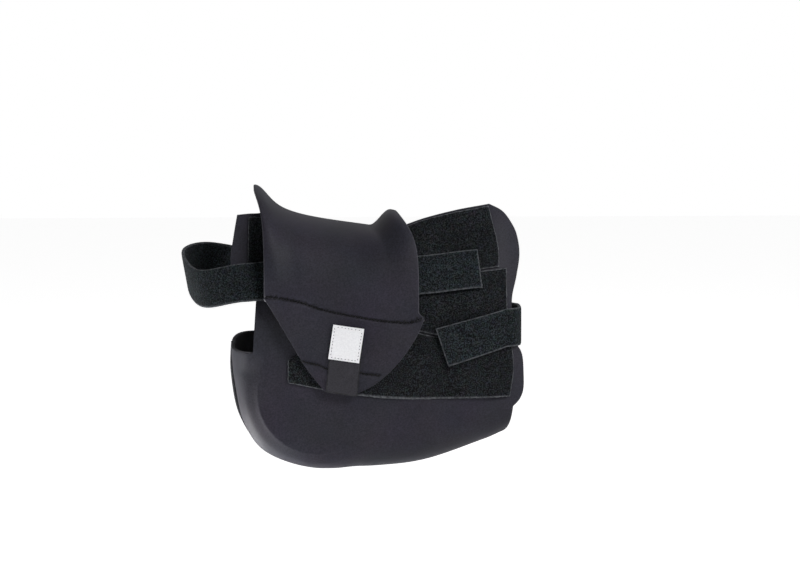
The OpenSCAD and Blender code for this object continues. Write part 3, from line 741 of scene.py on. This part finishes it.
def flapDepth(u, x, z, h, thick):
    low = np.minimum(z, flap["shoulder"])
    q = flapSquare(u)
    level = mix(strapLayer, flapLayer, smooth(low / 50))
    return (sideDepth(x, low) + level + thick) * (1 - np.clip(h, 0, 1) ** q) ** (1 / q)


def flapPoint(u, v, thick):
    # v runs from the seam up to the crest, then down to the edge sewn on the drive side
    g, k = np.clip(2 * v, 0, 1), np.clip(2 * v - 1, 0, 1)
    q = flapSquare(u)
    seam = curve(seamLine, u)
    shoulder = flap["shoulder"]
    rise = flapCrest(u) + thick - shoulder
    start = np.degrees(np.arcsin(flapShare(u, seam[:, 1], thick) ** (q / 2)))
    # both halves are spaced evenly along the cloth
    low, high = np.sqrt(start / 90), np.sqrt(1 - start / 90)
    even = mix(low / (low + high), 1, g)
    h = np.sin(np.pi / 2 * even ** 2 / (even ** 2 + (1 - even) ** 2)) ** (2 / q)
    z = shoulder + h * rise
    x = mix(seam[:, 0], flapX(u, h), smooth(26 * g))
    near = np.stack([x, -flapDepth(u, x, z, h, thick), z], -1)
    end = np.degrees(np.arcsin(flapShare(u, flap["lapHeight"], thick) ** (q / 2)))
    h = np.sin(np.radians(mix(90, end, 2 * k ** 2 - k ** 3))) ** (2 / q)
    z = shoulder + h * rise
    x = flapX(u, h)
    first = flapShare(u, flap["farShoulder"], 0)
    arch = (1 - np.clip((h - first) / (1 - first), 0, 1) ** 2.4) ** (1 / 2.4)
    far = np.stack([x, (sideDepth(x, z) + loopLayer + thick) * arch, z], -1)
    return np.where((v < 0.5)[:, None], near, far)


def placeFlap(u, v, lift=0.0):
    base = flapPoint(u, v, guard["neoprene"])
    gathers = 0.5 + 0.5 * speckle(base, 9, 61)
    fromSeam = np.where(v < 0.5, base[:, 2] - curve(seamLine, u)[:, 1], 60)
    pucker = flap["pucker"] * np.exp(-((fromSeam - 3.6) / 2.2) ** 2) * gathers - 0.5 * np.exp(-fromSeam / 1.7)
    broad = 0.8 * speckle(base, 48, 66) + creased(base[:, 0], base[:, 2], flap["creases"])
    broad = broad * np.clip(v * flap["flat"][1] / 12, 0, 1) * np.clip((1 - v) * 8, 0, 1)
    hem = -0.35 * np.exp(-np.minimum(u, 1 - u) * flap["flat"][0])
    return flapPoint(u, v, guard["neoprene"] + pucker + broad + hem + lift)


topFlap = makeCloth("topFlap", placeFlap, flap["flat"], flap["grain"], guard["neoprene"], neopreneFaces)
settle(topFlap, ["top_flap"])

# tip of the flap, its outline as (x, z)
print("tip")
tipFront = [[-38, -12.5], [-52, 5.5], [-64.5, 27], [-76, 47], [-84, 60]]
tipRear = [[-11, -14], [4, -5.5], [20, 10], [33, 29], [39, 43]]
tipBottom = [tipFront[0], [-25, -15], tipRear[0]]
tip = {"flat": (124, 64), "area": 4900, "grain": 0.8, "ridge": 0.75, "curl": 1.3,
       "creases": (((-52, 44), (-40, 6), 8, -0.5),),
       "rows": (((0.02, 0.315), (0.345, 0.31)), ((0.655, 0.355), (0.93, 0.34)))}  # stitch rows beside the tab, (u, v)


def tipPoint(u, v, thick):
    p = within(tipBottom, seamLine, tipFront, tipRear, u, v)
    z = p[:, 1] - 0.3
    h = flapShare(u, z, thick)
    return np.stack([p[:, 0], -flapDepth(u, p[:, 0], z, h, thick), z], -1)


def placeTip(u, v, lift=0.0):
    base = tipPoint(u, v, guard["neoprene"])
    down = (1 - v) * mix(62, 50, np.abs(u - 0.5) * 2)  # mm below the seam
    gathers = 0.65 + 0.5 * speckle(base, 7, 71)
    pucker = tip["ridge"] * np.exp(-((down - 3.2) / 1.9) ** 2) * gathers - 0.5 * np.exp(-down / 1.6)
    broad = 0.45 * speckle(base, 30, 76) + creased(base[:, 0], base[:, 2], tip["creases"])
    for (startU, startV), (endU, endV) in tip["rows"]:
        off = (v - mix(startV, endV, (u - startU) / (endU - startU))) * 52
        along = smooth((u - startU) * 30) * smooth((endU - u) * 30)
        broad += along * (0.4 * np.exp(-((off + 3) / 1.8) ** 2) - 0.6 * np.exp(-(off / 1.2) ** 2))
    broad = broad * np.clip(down / 8, 0, 1) * np.clip(v * 6, 0.3, 1)
    # the front edge curls a little off the panel
    curl = tip["curl"] * (1 - smooth(u / 0.1)) * smooth(v * 2.4 - 0.35) * smooth(down / 8)
    return tipPoint(u, v, guard["neoprene"] + pucker + broad + curl + lift)


flapTip = makeCloth("flapTip", placeTip, tip["flat"], tip["grain"], guard["neoprene"], neopreneFaces)
settle(flapTip, ["flap_tip"])


def tipPadPlace(u, v):
    p = tipPoint(mix(0.08, 0.92, u), mix(0.04, 0.3, v), 0)
    return onSide(np.stack([p[:, 0], p[:, 2]], -1), hookLayer + guard["hookPad"])


makeHookPad("flapTipHookPad", ["flap_tip_hook_pad"], tipPadPlace, (44, 18))

# pull tab and blank label
print("tab and label")
tab = {"flat": (24.5, 52), "thickness": 1.2, "overhang": 3}
label = {"flat": (24, 27), "thickness": 0.6, "corner": (-35, 12.7), "turn": -8.5}
labelTurn = math.radians(label["turn"])
labelAcross = np.array([math.cos(labelTurn), math.sin(labelTurn)])
labelUp = np.array([-math.sin(labelTurn), math.cos(labelTurn)])


def onTip(p, thick):
    u = (p[:, 0] - flap["frontX"]) / (flap["rearX"] - flap["frontX"])
    h = flapShare(u, p[:, 1], thick)
    return np.stack([p[:, 0], -flapDepth(u, p[:, 0], p[:, 1], h, thick), p[:, 1]], -1)


def labelPlace(across, up):
    return np.array(label["corner"]) + np.multiply.outer(across, labelAcross) + np.multiply.outer(up, labelUp)


def placeTab(u, v, lift=0.0):
    width = tab["flat"][0]
    top = labelPlace((label["flat"][0] - width) / 2, label["flat"][1] - 3)
    foot = np.array([label["corner"][0] - 2, tipRear[0][1] - width * labelAcross[1] - tab["overhang"]])
    p = mix(foot, top, v[:, None]) + (width * u)[:, None] * labelAcross
    hem = -0.25 * np.exp(-edgeDistance(u, v, tab["flat"]) / 0.8)
    wave = 0.12 * speckle(np.stack([u * 25, v * 52, 0 * u], -1), 8, 81)
    return onTip(p, tabLayer + tab["thickness"] + hem + wave + lift)


pullTab = makeCloth("pullTab", placeTab, tab["flat"], 0.7, 1.1, [tabWeave, tabWeave, tabWeave], roundEdge=0.3)
settle(pullTab, ["pull_tab"])


def placeLabel(u, v, lift=0.0):
    p = labelPlace(u * label["flat"][0], v * label["flat"][1])
    edge = edgeDistance(u, v, label["flat"])
    stitched = -0.16 * np.exp(-((edge - 1.6) / 0.5) ** 2)
    wave = 0.14 * speckle(np.stack([u * 24, v * 27, 0 * u], -1), 7, 91) * np.clip(edge / 3, 0, 1)
    return onTip(p, tabLayer + tab["thickness"] + guard["layerGap"] + label["thickness"] + stitched + wave + lift)


blankLabel = makeCloth("blankLabel", placeLabel, label["flat"], 0.5, 0.55, [labelSatin, labelSatin, labelSatin],
                       roundEdge=0.15)
settle(blankLabel, ["blank_label"])

# stitches
print("stitches")


def cornersOf(left, low, right, high):
    return [(left, low), (right, low), (right, high), (left, high)]


def around(corners):
    return list(zip(corners, corners[1:] + corners[:1]))


labelRuns = []
for a, b in around(cornersOf(0.063, 0.055, 0.937, 0.945)):
    labelRuns += seamRuns(placeLabel, a, b, 1.0, 1.7, 0.27, 0.06, len(labelRuns) + 3, wander=0.3, slant=0.5)
makeStitches("labelStitches", labelRuns, greyThread)

# seam between flap and tip: a close row, and loose zigzag threads over it
flapSeamRuns = (seamRuns(placeFlap, (0.01, 0.002), (0.99, 0.002), 1.8, 0.3, 0.46, 0.45, 5, wander=0.3, slant=0.3)
                + seamRuns(placeFlap, (0.02, 0.004), (0.98, 0.004), 1.0, 3.5, 0.34, 0.45, 6, wander=0.7, slant=1.5)
                + seamRuns(placeTip, (0.01, 0.99), (0.985, 0.99), 1.5, 1.6, 0.3, 0.5, 8, wander=1.4, slant=1.3))
makeStitches("flapSeamStitches", flapSeamRuns, blackThread)

tipRuns = []
for start, end in tip["rows"]:
    tipRuns += seamRuns(placeTip, start, end, 2.2, 0.2, 0.6, 0.4, 12, wander=0.8, slant=0.4)
    tipRuns += seamRuns(placeTip, start, end, 1.2, 1.6, 0.4, 0.6, 14, wander=3, slant=3.2)
makeStitches("tipStitches", tipRuns, blackThread)

# bar tack across the keel seam
tack = {"stitches": 9, "start": 0.425, "step": 0.0042}
barTack = []
for k in range(tack["stitches"]):
    at = tack["start"] + tack["step"] * k
    ends = placeNear(np.array([at, at]), np.array([0.004, 0.024]), 0.5)
    barTack.append((ends[0], ends[1], np.array([0, -0.2, -1.0]), 0.5))
makeStitches("barTack", barTack, blackThread)

# crossed boxes where the band and the strap are sewn to the drive side
boxRuns = []
for place, box in ((placeBand, cornersOf(0.012, 0.12, 0.068, 0.86)), (placeStrap, cornersOf(0.935, 0.14, 0.985, 0.86))):
    for a, b in around(box) + [(box[0], box[2]), (box[3], box[1])]:
        boxRuns += seamRuns(place, a, b, 2.4, 0.6, 0.3, 0.2, 31)
makeStitches("boxStitches", boxRuns, greyThread)

flapHem = seamRuns(placeFlap, (0.02, 0.985), (0.98, 0.985), 2.4, 0.7, 0.3, 0.1, 41)
makeStitches("flapHemStitches", flapHem, blackThread)

keelRuns = []
for place, side in ((placeNear, 1), (placeDrive, -1)):
    flipSide = Vector((1, side, 1))
    keelRuns += [(Vector(a) * flipSide, Vector(b) * flipSide, Vector(c) * flipSide, r) for a, b, c, r in
                 seamRuns(place, (0.004, 0.014), (0.996, 0.014), 2.4, 0.7, 0.28, 0.08, 21)]
makeStitches("keelStitches", keelRuns, blackThread)

# floor, world and lights
print("floor and lights")
room = {"floorHeight": -285, "studioLight": 0.22, "wallLight": 0.4, "floorGlow": 0.7}
# lights: place and target in metres, size, power
lights = {"keySoftbox": ((0.95, -1.3, 1.15), (0, 0, 0.02), (0.7, 0.6), 28.5),
          "topSoftbox": ((0.0, 0.9, 1.3), (0, 0.5, -0.285), (1.6, 1.4), 2.5),
          "lowBounce": ((-0.26, -0.02, -0.27), (-0.1, -0.03, 0), (0.5, 0.4), 6.3),
          "rightStrip": ((1.0, -0.6, -0.2), (0.05, -0.05, 0), (0.3, 0.6), 1.8)}
floorMesh = bpy.data.meshes.new("floor")
bm = bmesh.new()
bmesh.ops.create_grid(bm, x_segments=1, y_segments=1, size=6)
bmesh.ops.translate(bm, verts=bm.verts, vec=(0, 0, room["floorHeight"] * mm))
bm.to_mesh(floorMesh)
bm.free()
floor = bpy.data.objects.new("floor", floorMesh)
bpy.context.collection.objects.link(floor)
# Matt painted studio floor: plain white, with the object's soft shadow left on it.
paint, tree, surface = newMaterial("mattWhitePaint", {"Base Color": toLinear("#f2f2f2"), "Roughness": 0.9,
                                                      "Specular IOR Level": 0.1, "Emission Color": (1, 1, 1, 1)})
ray = addNode(tree, "ShaderNodeLightPath")
glow = addNode(tree, "ShaderNodeMapRange", {}, {"To Max": room["floorGlow"]}, {"Value": ray.outputs["Is Camera Ray"]})
tree.links.new(glow.outputs["Result"], surface.inputs["Emission Strength"])
floorMesh.materials.append(paint)

world = bpy.data.worlds.new("studio")
world.use_nodes = True
bpy.context.scene.world = world
tree = world.node_tree
background = tree.nodes["Background"]
background.inputs["Color"].default_value = (1, 1, 1, 1)
# the backdrop side is a lit white wall and the camera side is the darker studio
ray = addNode(tree, "ShaderNodeLightPath")
seen = addNode(tree, "ShaderNodeMath", {"operation": "MAXIMUM"}, {},
               {0: ray.outputs["Is Camera Ray"], 1: ray.outputs["Is Transmission Ray"]})
skyPlace = addNode(tree, "ShaderNodeTexCoord").outputs["Generated"]
towards = addNode(tree, "ShaderNodeSeparateXYZ", {}, {}, {"Vector": skyPlace})
wall = addNode(tree, "ShaderNodeMapRange", {"interpolation_type": "SMOOTHSTEP"},
               {"From Min": -0.3, "From Max": 0.6, "To Min": room["studioLight"], "To Max": room["wallLight"]},
               {"Value": towards.outputs["Y"]})
strength = addNode(tree, "ShaderNodeMix", {"data_type": "FLOAT"}, {3: 1.0},
                   {0: seen.outputs[0], 2: wall.outputs["Result"]})
tree.links.new(strength.outputs[0], background.inputs["Strength"])


def addLight(name, place, target, size, power):
    data = bpy.data.lights.new(name, "AREA")
    data.shape = "RECTANGLE"
    data.size, data.size_y = size
    data.energy = power
    light = bpy.data.objects.new(name, data)
    light.location = place
    light.rotation_euler = (Vector(target) - Vector(place)).to_track_quat("-Z", "Y").to_euler()
    light.visible_camera = False
    bpy.context.collection.objects.link(light)


for name, (place, target, size, power) in lights.items():
    addLight(name, place, target, size, power)
bpy.context.scene.view_settings.view_transform = "Standard"
